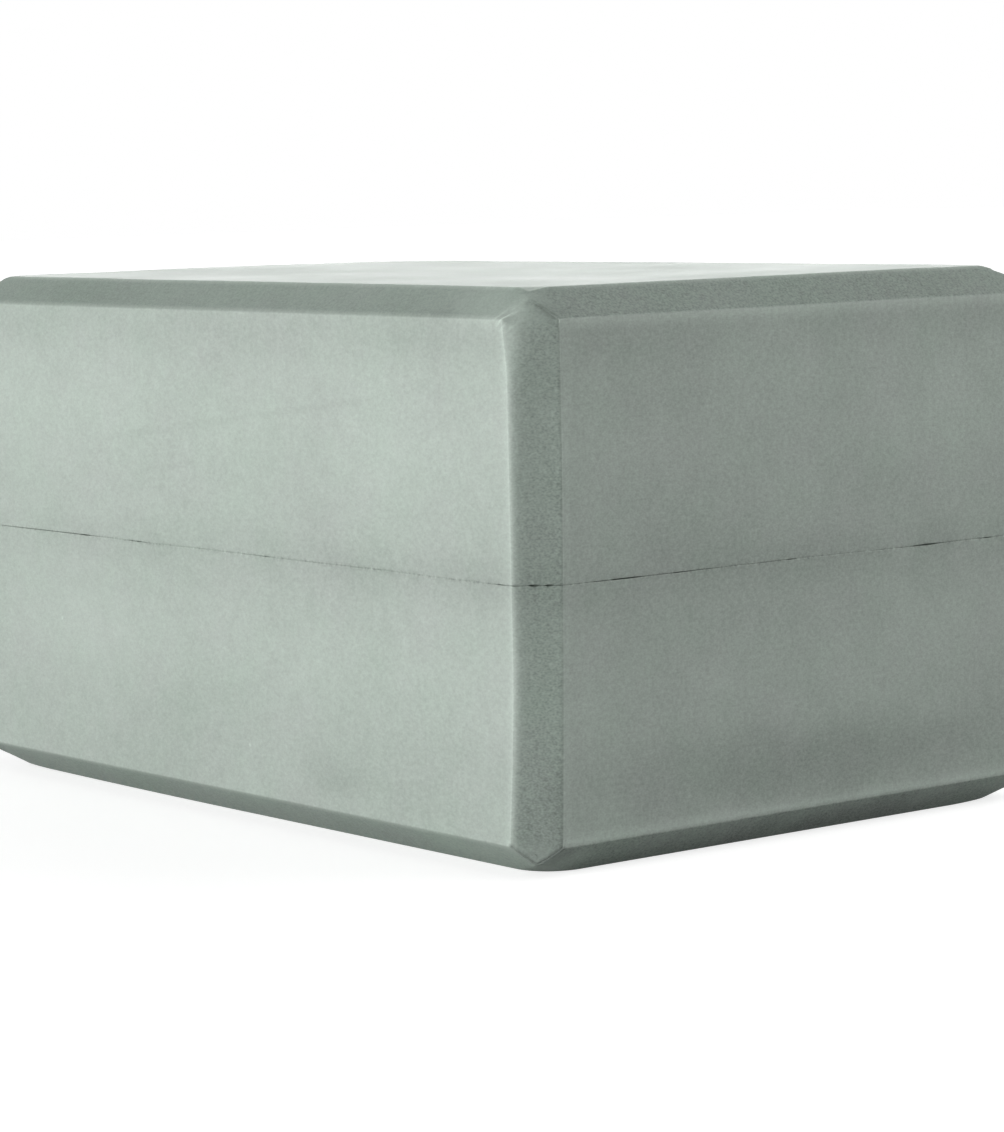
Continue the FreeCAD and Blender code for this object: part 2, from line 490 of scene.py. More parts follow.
def groove_lines(piece):
    """The ends of the edges that get a groove: how deep, as a share, and in which direction."""
    mesh = bmesh.from_edit_mesh(piece.data)
    lines = {}
    for edge in mesh.edges:
        near, far = edge.link_faces
        if is_corner(far):
            near, far = far, near
        share = groove_share(near, far)
        if share == 0:
            continue
        inward = -(near.normal + far.normal).normalized()
        for vertex in edge.verts:
            place = vertex.co.to_tuple(6)
            known_share, known_inward = lines.get(place, (0, Vector()))
            lines[place] = (max(share, known_share), known_inward + inward)
    return lines


def sink_grooves(piece, lines, depth):
    """Presses the recorded edges in, between the strips that stay where they are, and marks them for the shade
    painted in the grooves.
    """
    mesh = bmesh.from_edit_mesh(piece.data)
    mark = mesh.verts.layers.float.new(GROOVE_SHADE_MARK)
    for vertex in mesh.verts:
        place = vertex.co.to_tuple(6)
        if place in lines:
            share, inward = lines[place]
            vertex.co += inward.normalized() * depth * share
            vertex[mark] = share
    bmesh.update_edit_mesh(piece.data)


def top_flare(place):
    """Rises to 1 over the last stretch below the top rim, where the cutter ran out."""
    return ramp(place.z, UPPER_HIGH.z - FLARE_START, UPPER_HIGH.z - FLARE_END)


def cut_open(place, sizes):
    """How far the foam is cut open at a place on a bevel; the faces' skin runs over its edges a little."""
    gap, signs = measure_place(place)
    upright = 1 - ramp(gap.x, 0.9 * sizes.corner_bevel, 1.6 * sizes.corner_bevel)
    flare = top_flare(place) * upright
    turn = sizes.rim_turn + (sizes.skin_turn * (1 + SKIN_FLARE * flare) - sizes.rim_turn) * upright
    opened = 1 - math.exp(-(gap.y / turn) ** (1 + flare))
    if signs.z > 0:
        from_corner = ramp(max(gap.x, gap.y), sizes.rim_run, 2 * sizes.rim_run)
        opened *= 1 - from_corner * math.exp(-gap.z / sizes.rim_turn)
    return opened


def pale_border(border, crest, fall):
    """How pale a side is at a distance from its border, partly rubbed wear and partly a painted edge
    highlight: most at the crest, less on both sides of it.
    """
    outer = EDGE_PALENESS + (1 - EDGE_PALENESS) * ramp(border, 0, crest)
    return outer * (1 - ramp(border, crest, crest + fall))


def mark_finishes(piece, sizes):
    """Marks where the foam is cut open, and where a side's border is pale: partly rubbed wear, partly a
    painted edge highlight.
    """
    mesh = bmesh.from_edit_mesh(piece.data)
    for name in (CUT_MARK, PALE_BORDER_MARK):
        mesh.verts.layers.float.new(name)
    cut, worn = mesh.verts.layers.float[CUT_MARK], mesh.verts.layers.float[PALE_BORDER_MARK]
    edge = BLOCK_HALF - Vector((sizes.corner_bevel, sizes.corner_bevel, sizes.rim_rise))
    lip = sizes.tight_strip + sizes.lip_crest
    for vertex in mesh.verts:
        gap, _ = measure_place(vertex.co)
        border = edge - BLOCK_HALF + gap
        if min(gap) > FLUSH:
            vertex[cut] = cut_open(vertex.co, sizes)
            continue
        if gap.x < FLUSH:
            nearest = min(border.y, border.z)
            beside_rim, beside_corner = [pale_border(border[axis], lip, sizes.lip_fall) for axis in (2, 1)]
            vertex[worn] = max(beside_rim, CORNER_PALENESS * beside_corner)
        elif gap.y < FLUSH:
            nearest = min(border.x, border.z)
            vertex[worn] = pale_border(border.x, sizes.tight_strip, 2 * sizes.lip_crest)
        else:
            continue
        vertex[cut] = EDGE_CUT * (1 - ramp(nearest, 0, sizes.tight_strip))
    bmesh.update_edit_mesh(piece.data)


def cut_places(axis, sizes):
    """Where the block is sliced along an axis: across faces, close to their corners and along bevels."""
    edge = BLOCK_HALF[axis] - (sizes.rim_rise if axis == 2 else sizes.corner_bevel)
    reach = edge - sizes.tight_strip - sizes.lip_crest - sizes.lip_fall
    outer = [edge - 1.5 * sizes.tight_strip]
    if axis < 2:
        outer += [edge + share * sizes.corner_bevel for share in BEVEL_SLICES]
    places = spaced(-reach, reach, sizes.mesh_spacing) + outer + [-place for place in outer]
    return [BLOCK_MIDDLE[axis] + place for place in sorted(places)]


def make_bevelled_block(sizes):
    """The whole bevelled block as a coarse cage, which is then parted into the two slabs."""
    piece = start_block("bevelled_block", LOWER_LOW, UPPER_HIGH)
    cut_bevels(sizes)
    select_parts(piece, "EDGE", is_mitre)
    bpy.ops.mesh.bevel(offset=sizes.mitre_round, offset_type="OFFSET", segments=2, affect="EDGES")
    inset_faces(piece, is_rim, sizes.tight_strip, together=True)
    inset_faces(piece, is_wide_rim, sizes.soft_strip, together=True)
    inset_faces(piece, is_corner, sizes.tight_strip)
    inset_faces(piece, is_wide_corner, sizes.roll_width)
    inset_faces(piece, is_flat, sizes.soft_strip)
    inset_faces(piece, is_side, sizes.tight_strip)
    for wanted, rise in ((is_wide_end, sizes.lip_height), (is_wide_long_side, 0)):
        inset_faces(piece, wanted, sizes.lip_crest, rise=rise)
        inset_faces(piece, wanted, sizes.lip_fall, rise=-rise)
    for axis in (0, 1, 2):
        slice_across(axis, cut_places(axis, sizes))
    mark_finishes(piece, sizes)
    sink_grooves(piece, groove_lines(piece), sizes.groove_depth)
    bpy.ops.object.mode_set(mode="OBJECT")
    return piece


# The foam slabs

# How far inside its rim the bonded face is held flat, and over which height the base settles on the floor.
HELD_INSET, SETTLED_HEIGHT = 12 * MM, 3 * MM
# How close to a plane a place counts as on it: an upright bevel's, its worked top's and, as a share, a rim's.
NEAR_BEVEL, NEAR_TOP, NEAR_RIM = 3 * MM, 0.8 * MM, 0.15
# Width over which an upright bevel's bulge stays off the end, and the rims' bulge as shares of it.
CRISP_EDGE, RIM_ROLL_HEIGHT, RIM_ROLL_WIDTH = 1 * MM, 0.25, 0.3
# Where the roll and the ledge of an upright bevel's top come in and run out, along the arms of the V there.
ROLL_SPAN, LEDGE_SPAN = (-0.05, 0.35, 0.85, 1.1), (-0.1, 0.15, 0.95, 1.25)
ROLL_DEPTH = 0.25
# How much darker the shade painted at a crease's ends is than along its run.
CREASE_END = 1.6
# The near bevel's lean. Foot: its reach up the block, as a share of the height, and how sharply it fades.
# Top: where it comes in, and shares of the lean at the foot.
SIDE_FOOT, END_FOOT = (0.36, 1.5), (0.8, 1.6)
SIDE_TOP, SIDE_TOP_SHARE, END_TOP_SHARE = (0.84, 0.96), 0.45, 0.35
# How far the other bevels lean at most, in millimetres, and how far along the faces a lean runs out.
LEAN_SPREAD, LEAN_REACH = 0.8, 40 * MM
# The seam's noises: the lengths of their runs, and where they are read.
LONG_RUN, SHORT_RUN, STRAY_RUN = 9 * MM, 2.6 * MM, 35 * MM
LONG_START, SHORT_START, STRAY_START = (3.1, 7.7, 0.5), (9.2, 1.3, 4.5), (5.5, 2.5, 8.5)
# Where the seam's unevenness runs out: inward from the rim, and away from the bond.
FRAY_INWARD, STRAY_REACH, OPEN_REACH = (0.2 * MM, 0.7 * MM), 6 * MM, (0.05 * MM, 0.45 * MM)


def part_slab(cage, name, bonded_height, up, sizes):
    """Copies the cage and keeps one side of the seam, with a tight edge round the bonded face."""
    make_active(cage)
    bpy.ops.object.duplicate()
    piece = name_active(name)
    cut_off((0, 0, bonded_height), (0, 0, -up))

    def is_bonded(face):
        return face.normal.z * up < -FLAT_NORMAL

    inset_faces(piece, is_bonded, sizes.tight_strip)
    for axis in (0, 1):
        slice_across(axis, cut_places(axis, sizes), lambda: select_parts(piece, "FACE", is_bonded))
    slice_across(2, [bonded_height + up * sizes.tight_strip])
    bpy.ops.object.mode_set(mode="OBJECT")
    return piece


def refine_slab(piece, up, bonded_height, sizes):
    """Smooths the cage into a fine mesh and gives the foam its slow and short unevenness."""
    smooth = piece.modifiers.new("foam_rounding", "SUBSURF")
    smooth.levels = 2
    smooth.render_levels = 2
    apply_modifiers(piece)
    free = piece.vertex_groups.new(name="free_surface")
    for vertex, gap, _ in measured(piece):
        held = (vertex.co.z - bonded_height) * up < FLUSH and min(gap.x, gap.y) > HELD_INSET
        settled = ramp(vertex.co.z - LOWER_LOW.z, 0, SETTLED_HEIGHT)
        free.add([vertex.index], 0 if held else settled, "REPLACE")
    for label, spacing, height in (
        ("waves", sizes.wave_spacing, sizes.waviness),
        ("ripples", sizes.ripple_spacing, sizes.ripple),
    ):
        pattern = bpy.data.textures.new(f"{piece.name}_{label}", "CLOUDS")
        pattern.noise_scale = spacing
        pattern.noise_depth = 1
        push = piece.modifiers.new(label, "DISPLACE")
        push.texture = pattern
        push.texture_coords = "LOCAL"
        push.vertex_group = free.name
        push.strength = height
        push.mid_level = 0.5
    apply_modifiers(piece)
    piece.vertex_groups.clear()


def roll(from_edge, width, reach):
    """The bulge of a bevel at a distance from the edge that it rolls into, as a share of its height."""
    return (1 - math.exp(-from_edge / reach)) * (1 - from_edge / width) ** 2


def upright_bulge(place, gap, sizes):
    """How far an upright bevel bulges beside the long side: more and wider towards its top."""
    leg, rise = sizes.corner_bevel, sizes.rim_rise
    width, from_edge = leg / DIAGONAL, gap.y / DIAGONAL
    on_bevel = abs(gap.x + gap.y - leg) < NEAR_BEVEL and gap.z > 0.4 * rise
    if not on_bevel or not 0 < from_edge < width:
        return 0
    held = ramp(gap.x, 0, CRISP_EDGE) * ramp(gap.z, 0.4 * rise, 1.3 * rise)
    fuller = ramp(place.z - BLOCK_MIDDLE.z, 0.4 * BLOCK_HALF.z, 0.9 * BLOCK_HALF.z)
    fuller += top_flare(place)
    share = roll(from_edge, width, sizes.roll_width * (0.45 + 0.9 * fuller))
    return sizes.roll_height * (1 + 1.2 * fuller) * share * held


def roll_bevels(piece, sizes):
    """Bulges the bevels beside the sides that they roll into; upright ones stay crisp at the ends."""
    for vertex, gap, signs in measured(piece):
        run = sizes.rim_run if signs.z > 0 else sizes.base_run
        width = math.hypot(run, sizes.rim_rise)
        vertex.co += Vector((signs.x, signs.y, 0)) * DIAGONAL * upright_bulge(vertex.co, gap, sizes)
        for axis in (0, 1):
            slope = gap[axis] / run + gap.z / sizes.rim_rise
            if gap[axis] <= 0 or abs(slope - 1) > NEAR_RIM:
                continue
            from_edge = gap[axis] * width / run
            held = ramp(gap[1 - axis], 0.9 * sizes.corner_bevel, 1.8 * sizes.corner_bevel)
            share = roll(min(from_edge, width), width, RIM_ROLL_WIDTH * sizes.roll_width)
            height = RIM_ROLL_HEIGHT * sizes.roll_height * share * held
            vertex.co[axis] += signs[axis] * height * sizes.rim_rise / width
            vertex.co.z += signs.z * height * run / width


def bevel_arms(sizes, run):
    """The V where an upright bevel meets two rims: its point and its feet on the long side and the end."""
    leg, rise = sizes.corner_bevel, sizes.rim_rise
    apex = Vector((leg / 2, leg / 2, rise * (1 - leg / (2 * run))))
    return apex, Vector((leg, 0, rise)), Vector((0, leg, rise))


def beside_arm(gap, foot, apex, first=-math.inf, last=math.inf):
    """Where a place lies along an arm of the V, from 0 at the foot to 1 at the point, and how far from it."""
    arm = apex - foot
    share = min(max((gap - foot).dot(arm) / arm.length_squared, first), last)
    return share, (gap - foot - arm * share).length


def span(share, start, full, late, end):
    """Comes in between the first two shares and runs out between the last two."""
    return ramp(share, start, full) * (1 - ramp(share, late, end))


def finish_bevel_tops(piece, sizes):
    """Rolls the upright bevels' tops into the long rims, and leaves a ledge under the ends' rims with shade
    painted below it.
    """
    leg, run, rise = sizes.corner_bevel, sizes.rim_run, sizes.rim_rise
    apex, side_foot, end_foot = bevel_arms(sizes, run)
    upright = Vector((1, 1, 0)).normalized()
    side_rim, end_rim = Vector((0, rise, run)).normalized(), Vector((rise, 0, run)).normalized()
    inward = -(upright + side_rim).normalized()
    grooves = piece.data.attributes[GROOVE_SHADE_MARK].data
    for vertex, gap, signs in measured(piece):
        if signs.z < 0 or gap.z > 3 * rise or gap.x + gap.y > 3 * leg:
            continue
        out_of_bevel, out_of_rim, out_of_end = [(apex - gap).dot(way) for way in (upright, side_rim, end_rim)]
        share, _ = beside_arm(gap, side_foot, apex)
        near = 1 - abs(out_of_bevel - out_of_rim) / sizes.top_roll
        if near > 0 and max(out_of_bevel, out_of_rim) > -NEAR_TOP:
            depth = ROLL_DEPTH * sizes.top_roll * near * near * span(share, *ROLL_SPAN)
            vertex.co += Vector([signs[axis] * inward[axis] for axis in (0, 1, 2)]) * depth
        share, away = beside_arm(gap, end_foot, apex)
        if out_of_end < 0 and abs(out_of_bevel) < NEAR_TOP and away < sizes.ledge_reach:
            fall = (1 - away / sizes.ledge_reach) ** 2 * span(share, *LEDGE_SPAN)
            vertex.co -= Vector((signs.x, signs.y, 0)) * DIAGONAL * sizes.ledge_depth * fall
            # Paints shade below the ledge through the groove mark.
            grooves[vertex.index].value = max(grooves[vertex.index].value, fall)


def shade_base_arms(piece, sizes):
    """Marks soft painted shade in the crease where the upright bevels run out into the base's rims, darkest at
    its ends.
    """
    apex, *feet = bevel_arms(sizes, sizes.base_run)
    grooves = piece.data.attributes[GROOVE_SHADE_MARK].data
    for vertex, gap, signs in measured(piece):
        if signs.z > 0 or gap.z > 2 * sizes.rim_rise or gap.x + gap.y > 3 * sizes.corner_bevel:
            continue
        for foot in feet:
            _, away = beside_arm(gap, foot, apex, 0, 1)
            crease = max(0, 1 - away / sizes.crease_reach)
            end = CREASE_END * max(0, 1 - (gap - foot).length / sizes.crease_reach)
            grooves[vertex.index].value = max(grooves[vertex.index].value, crease, end)


def foot_lean(height, reach, power):
    """A lean that is full at the foot and fades up to its reach."""
    return max(0, 1 - height / reach) ** power


def lean_corners(piece, sizes):
    """Lets the upright bevels wander as hand-guided cuts do, most at the near corner's foot."""
    draw = random.Random(sizes.seed)
    leans = {}
    for corner in CORNERS:
        leans[corner] = [draw.uniform(-LEAN_SPREAD, LEAN_SPREAD) * MM for _ in range(4)]
    inner = [BLOCK_HALF[axis] - sizes.corner_bevel for axis in (0, 1)]
    for vertex in piece.data.vertices:
        place = vertex.co - BLOCK_MIDDLE
        corner = (1 if place.x > 0 else -1, 1 if place.y > 0 else -1)
        on_end, on_side = [ramp(abs(place[axis]), inner[axis], BLOCK_HALF[axis]) for axis in (0, 1)]
        close_x, close_y = [
            ramp(abs(place[axis]), BLOCK_HALF[axis] - LEAN_REACH, inner[axis]) for axis in (0, 1)]
        height = (place.z + BLOCK_HALF.z) / (2 * BLOCK_HALF.z)
        if corner == NEAR_CORNER:
            top = SIDE_TOP_SHARE * ramp(height, *SIDE_TOP)
            slide_x = -sizes.side_lean * (foot_lean(height, *SIDE_FOOT) + top)
            slide_y = sizes.end_lean * (END_TOP_SHARE - foot_lean(height, *END_FOOT))
        else:
            foot_x, top_x, foot_y, top_y = leans[corner]
            slide_x = foot_x + (top_x - foot_x) * height
            slide_y = foot_y + (top_y - foot_y) * height
        vertex.co.x += slide_x * on_side * close_x
        vertex.co.y += slide_y * on_end * close_y


def round_end_corners(piece, up, radius, sizes):
    """Rounds the flat end's corners, seen from above; the rounding runs out where the mitres start."""
    reach = sizes.rim_rise / 2
    run = sizes.rim_run if up > 0 else sizes.base_run
    for vertex in piece.data.vertices:
        rise = vertex.co.z - BLOCK_MIDDLE.z
        depth = max(BLOCK_HALF.z - abs(rise), 0)
        local = radius * (1 - depth / reach)
        if rise * up < 0 or local < TINY:
            continue
        narrowing = run * (1 - depth / sizes.rim_rise)
        starts = [BLOCK_HALF[axis] - narrowing - local for axis in (0, 1)]
        offsets = [vertex.co[axis] - BLOCK_MIDDLE[axis] for axis in (0, 1)]
        shares = [(abs(offset) - start) / local for offset, start in zip(offsets, starts)]
        if min(shares) <= 0:
            continue
        for axis in (0, 1):
            other = min(shares[1 - axis], 1.2)
            moved = shares[axis] * math.sqrt(max(1 - other * other / 2, 0))
            vertex.co[axis] = BLOCK_MIDDLE[axis] + math.copysign(starts[axis] + moved * local, offsets[axis])


def press_top_corners(piece, sizes):
    """Lets the top face's corners droop a little, where the cutter turned."""
    for vertex, gap, signs in measured(piece):
        closeness = 1 - math.hypot(gap.x - sizes.rim_run, gap.y - sizes.rim_run) / sizes.droop_reach
        if closeness > 0 and signs.z > 0:
            deep = 1 - ramp(gap.z, 0, sizes.rim_rise / 2)
            vertex.co.z -= sizes.corner_droop * closeness * deep


def pull_near_corner(piece):
    """Pulls spots of the near top corner to where its hand-guided cuts met."""
    for vertex, gap, signs in measured(piece):
        if (signs.x, signs.y) != NEAR_CORNER or signs.z < 0:
            continue
        for place, move, reach in CORNER_PULLS:
            closeness = 1 - (gap / MM - Vector(place)).length / reach
            if closeness > 0:
                vertex.co += Vector(move) * MM * closeness * closeness


def lift_corners(piece):
    """Lifts the worn base corners off the floor and lets the far top corner sink."""
    for vertex in piece.data.vertices:
        for corner, reach, lift in CORNER_LIFTS:
            away = Vector([(vertex.co[axis] / MM - corner[axis]) / reach[axis] for axis in (0, 1, 2)]).length
            if away < 1:
                vertex.co.z += lift * MM * (1 - away) ** 2


def seam_noise(place, run, start):
    """A noise along the seam, from about -1 to 1, with runs of a length."""
    return noise.noise(Vector((place.x, place.y, 0)) / run + Vector(start))


def seam_openness(place):
    """How far the seam gapes at a place round the block: 0 where it is tight, 1 where it is open."""
    runs = seam_noise(place, LONG_RUN, LONG_START) + 0.7 * seam_noise(place, SHORT_RUN, SHORT_START)
    opened = 0.1 + 0.9 * ramp(runs, 0.2, 0.95)
    for tight_x, tight_y, half_length in SEAM_BONDS:
        opened *= ramp(math.hypot(place.x - tight_x * MM, place.y - tight_y * MM), 0, half_length * MM)
    for chip_x, chip_y, half_length, depth in SEAM_CHIPS:
        away = math.hypot(place.x - chip_x * MM, place.y - chip_y * MM) / (half_length * MM)
        opened += depth * max(0, 1 - away * away)
    return opened


def fray_seam(piece, up, bonded_height, sizes):
    """Lets the bonded edge open, close and stray along the seam, and marks it for the material."""
    closed = (UPPER_LOW.z - LOWER_HIGH.z) / 2
    mark = piece.data.attributes.new(SEAM_MARK, "FLOAT", "POINT").data
    for vertex in piece.data.vertices:
        from_bond = (vertex.co.z - bonded_height) * up
        if from_bond > STRAY_REACH:
            continue
        place = vertex.co - BLOCK_MIDDLE
        ends, sides = BLOCK_HALF.x - abs(place.x), BLOCK_HALF.y - abs(place.y)
        inside = min(ends, sides, (ends + sides - sizes.corner_bevel) * DIAGONAL)
        rim = 1 - ramp(inside, *FRAY_INWARD)
        stray = sizes.seam_wander * seam_noise(place, STRAY_RUN, STRAY_START)
        vertex.co.z += stray * rim * (1 - ramp(from_bond, 0, STRAY_REACH))
        edge = rim * (1 - ramp(from_bond, *OPEN_REACH))
        pull = (sizes.seam_gap + closed) * seam_openness(vertex.co) - closed
        vertex.co.z += up * pull * edge
        mark[vertex.index].value = edge


def make_slab(cage, name, bonded_height, up, radius, sizes):
    """One foam slab as a fine mesh: routed bevels, rolled shoulders and hand-made unevenness."""
    piece = part_slab(cage, name, bonded_height, up, sizes)
    refine_slab(piece, up, bonded_height, sizes)
    roll_bevels(piece, sizes)
    finish_bevel_tops(piece, sizes)
    shade_base_arms(piece, sizes)
    lean_corners(piece, sizes)
    round_end_corners(piece, up, radius, sizes)
    press_top_corners(piece, sizes)
    pull_near_corner(piece)
    lift_corners(piece)
    fray_seam(piece, up, bonded_height, sizes)
    make_active(piece)
    bpy.ops.object.shade_smooth()
    return piece


# The adhesive film

# Outline edges longer than a limit, and how many cuts each gets: the straight runs, then the corners.
FILM_CUTS = ((50 * MM, 99), (5 * MM, 7))
FILM_BORDER = 1.2 * MM
GLUE_RUN = 3.4 * MM


def make_film(name, sizes):
    """The glue between the slabs: a thin sheet whose edge creeps in and out of the seam."""
    piece = start_block(name, FILM_LOW, FILM_HIGH)
    half = (FILM_HIGH - FILM_LOW) / 2
    leg = sizes.corner_bevel - (2 - math.sqrt(2)) * (BLOCK_HALF.x - half.x)
    for side_x, side_y in CORNERS:
        corner = BLOCK_MIDDLE + Vector((side_x * (half.x - leg), side_y * half.y, 0))
        cut_off(corner, (side_x, side_y, 0))
    for shortest, cuts in FILM_CUTS:
        def is_outline(edge):
            return edge.calc_length() > shortest and abs(edge.verts[0].co.z - edge.verts[1].co.z) < TINY

        select_parts(piece, "EDGE", is_outline)
        bpy.ops.mesh.subdivide(number_cuts=cuts)
    inset_faces(piece, is_flat, FILM_BORDER)
    mesh = bmesh.from_edit_mesh(piece.data)
    for vertex in mesh.verts:
        place = vertex.co - BLOCK_MIDDLE
        gaps = {"end": half.x - abs(place.x), "side": half.y - abs(place.y)}
        gaps["corner"] = (half.x + half.y - leg - abs(place.x) - abs(place.y)) * DIAGONAL
        edge = min(gaps, key=gaps.get)
        if gaps[edge] > 2 * FLUSH:
            continue
        outward = Vector((math.copysign(1, place.x), math.copysign(1, place.y), 0))
        if edge == "end":
            outward.y = 0
        elif edge == "side":
            outward.x = 0
        vertex.co += outward.normalized() * sizes.glue_creep * noise.noise(vertex.co / GLUE_RUN)
    bmesh.update_edit_mesh(piece.data)
    bpy.ops.object.mode_set(mode="OBJECT")
    return piece


# Materials

class NodeSketch:
    """Adds nodes to a shader tree. A source is a socket to link or a plain value to set."""

    def __init__(self, tree):
        self.tree = tree

    def add(self, kind, sources=None, **fields):
        node = self.tree.nodes.new(kind)
        for name, value in fields.items():
            setattr(node, name, value)
        self.fill(node, sources or {})
        return node

    def fill(self, node, sources):
        """Gives a node's inputs their sources, by name or number."""
        for name, source in sources.items():
            if isinstance(source, bpy.types.NodeSocket):
                self.tree.links.new(source, node.inputs[name])
            else:
                node.inputs[name].default_value = source

    def math(self, operation, *sources):
        return self.add("ShaderNodeMath", dict(enumerate(sources)), operation=operation).outputs[0]

    def times(self, first, second):
        return self.math("MULTIPLY", first, second)

    def apart(self, first, second):
        """How far apart two values are."""
        return self.math("ABSOLUTE", self.math("SUBTRACT", first, second))

    def vector(self, operation, *sources, out="Vector"):
        return self.add("ShaderNodeVectorMath", dict(enumerate(sources)), operation=operation).outputs[out]

    def rise(self, value, start, end, low=0.0, high=1.0):
        """One level below the start, another above the end, smooth between."""
        sources = {"Value": value, "From Min": start, "From Max": end, "To Min": low, "To Max": high}
        return self.add("ShaderNodeMapRange", sources, interpolation_type="SMOOTHSTEP").outputs["Result"]

    def total(self, start, *terms):
        """The start plus each value times its amount."""
        for value, amount in terms:
            start = self.math("MULTIPLY_ADD", value, amount, start)
        return start

    def grain(self, place, scale, detail=2.0):
        """Noise about zero, roughly from -1 to 1."""
        pattern = self.add("ShaderNodeTexNoise", {"Vector": place, "Scale": scale, "Detail": detail})
        return self.math("MULTIPLY_ADD", pattern.outputs["Fac"], 4.0, -2.0)

    def mark(self, name):
        return self.add("ShaderNodeAttribute", attribute_name=name).outputs["Fac"]

    def bumps(self, height, distance):
        """The normal of a surface with a relief."""
        sources = {"Strength": 1.0, "Distance": distance, "Height": height}
        return self.add("ShaderNodeBump", sources).outputs["Normal"]

    def place_in_millimetres(self):
        place = self.add("ShaderNodeTexCoord").outputs["Object"]
        return self.add("ShaderNodeMapping", {"Vector": place, "Scale": (1 / MM, 1 / MM, 1 / MM)}).outputs[0]

    def use(self, group, **sources):
        """Places a node group and gives its inputs by name, with underscores for spaces."""
        named = {name.replace("_", " "): source for name, source in sources.items()}
        return self.add("ShaderNodeGroup", named, node_tree=group).outputs


def new_material(name):
    """An empty node material: its sketch, its shader and itself."""
    material = bpy.data.materials.new(name)
    material.use_nodes = True
    return NodeSketch(material.node_tree), material.node_tree.nodes["Principled BSDF"], material


def new_group(name, inputs, outputs):
    """An empty node group: its sketch, its input sockets, its output node and itself."""
    group = bpy.data.node_groups.new(name, "ShaderNodeTree")
    for label, kind in inputs.items():
        group.interface.new_socket(label, in_out="INPUT", socket_type=f"NodeSocket{kind}")
    for label in outputs:
        group.interface.new_socket(label, in_out="OUTPUT", socket_type="NodeSocketFloat")
    sketch = NodeSketch(group)
    return sketch, sketch.add("NodeGroupInput").outputs, sketch.add("NodeGroupOutput"), group


def foam_grain_group():
    """The fine grain of closed-cell foam: cells, dust and relief about zero, and the open pores."""
    sketch, given, result, group = new_group(
        "foam_grain", {"Place": "Vector", "Cell Size": "Float"}, ("Cells", "Dust", "Height", "Pores"))
    scale = sketch.math("DIVIDE", 1.0, given["Cell Size"])
    cells = sketch.grain(given["Place"], scale, detail=0.0)
    dust = sketch.grain(given["Place"], sketch.times(scale, 2.2), detail=0.0)
    pits = sketch.add("ShaderNodeTexVoronoi", {"Vector": given["Place"], "Scale": scale})
    pores = sketch.rise(pits.outputs["Distance"], 0.1, 0.3, 1.0, 0.0)
    relief = sketch.total(dust, (cells, 0.5))
    sketch.fill(result, {"Cells": cells, "Dust": dust, "Height": relief, "Pores": pores})
    return group


def slow_mottle_group():
    """Cloudy unevenness about zero, at one size and at a third of it."""
    sketch, given, result, group = new_group(
        "slow_mottle", {"Place": "Vector", "Cloud Size": "Float"}, ("Tone",))
    scale = sketch.math("DIVIDE", 1.0, given["Cloud Size"])
    clouds = sketch.grain(given["Place"], scale)
    wisps = sketch.grain(given["Place"], sketch.times(scale, 3.1))
    sketch.fill(result, {"Tone": sketch.total(clouds, (wisps, 0.35))})
    return group


def soft_patch_group():
    """A mask that is 1 at a centre and fades to 0 at its reach."""
    sketch, given, result, group = new_group(
        "soft_patch", {"Place": "Vector", "Centre": "Vector", "Reach": "Vector"}, ("Mask",))
    offset = sketch.vector("SUBTRACT", given["Place"], given["Centre"])
    away = sketch.vector("LENGTH", sketch.vector("DIVIDE", offset, given["Reach"]), out="Value")
    sketch.fill(result, {"Mask": sketch.rise(away, 0.0, 1.0, 1.0, 0.0)})
    return group


def ragged_place(sketch, place, size):
    """A place that strays by a noise of a size, so that what is drawn with it gets a ragged border."""
    stray = sketch.add("ShaderNodeTexNoise", {"Vector": place, "Scale": 1 / size, "Detail": 2.0})
    centred = sketch.vector("SUBTRACT", stray.outputs["Color"], (0.5, 0.5, 0.5))
    return sketch.vector("MULTIPLY_ADD", centred, (size, size, size), place)


def seam_stain_and_shade(sketch, place, height):
    """Darkened foam along the glue line, in clouds: partly glue stain, partly painted shade between the slabs.
    """
    away = sketch.apart(height, SEAM_HEIGHT / MM)
    clouds = sketch.rise(sketch.grain(place, 1 / SEAM_DARKENING_SIZE), -0.9, 0.6, 0.25, 1.0)
    wide = sketch.rise(away, 0.0, 9.0, 1.0, 0.0)
    fine = sketch.rise(away, 0.0, 1.2, 0.45, 0.0)
    return sketch.times(sketch.math("ADD", wide, fine), clouds)


def knife_arcs(sketch, along, across, height):
    """A mask of the faint lines that the splitting knife left on the near long side."""
    on_side = sketch.rise(across, LOWER_LOW.y / MM + 0.6, LOWER_LOW.y / MM + 1.2, 1.0, 0.0)
    fade = 8
    mask = 0.0
    for middle, slope, first, last in KNIFE_ARCS:
        line = sketch.math("MULTIPLY_ADD", along, slope, middle)
        shown = sketch.rise(sketch.apart(height, line), 0.2, 1.5, 1.0, 0.0)
        for start, end in ((first - fade, first + fade), (last + fade, last - fade)):
            shown = sketch.times(shown, sketch.rise(along, start, end))
        mask = sketch.math("MAXIMUM", mask, shown)
    return sketch.times(mask, on_side)


def torn_strokes(sketch, along, height):
    """Slanting light and dark strokes, from -1 to 1, as a blunt cutter tears them."""
    over = sketch.math("SUBTRACT", along, height)
    onward = sketch.times(sketch.math("ADD", along, height), 0.12)
    place = sketch.add("ShaderNodeCombineXYZ", {0: over, 1: onward}).outputs[0]
    return sketch.rise(sketch.grain(place, 0.8, detail=1.0), -0.3, 0.3, -1.0, 1.0)


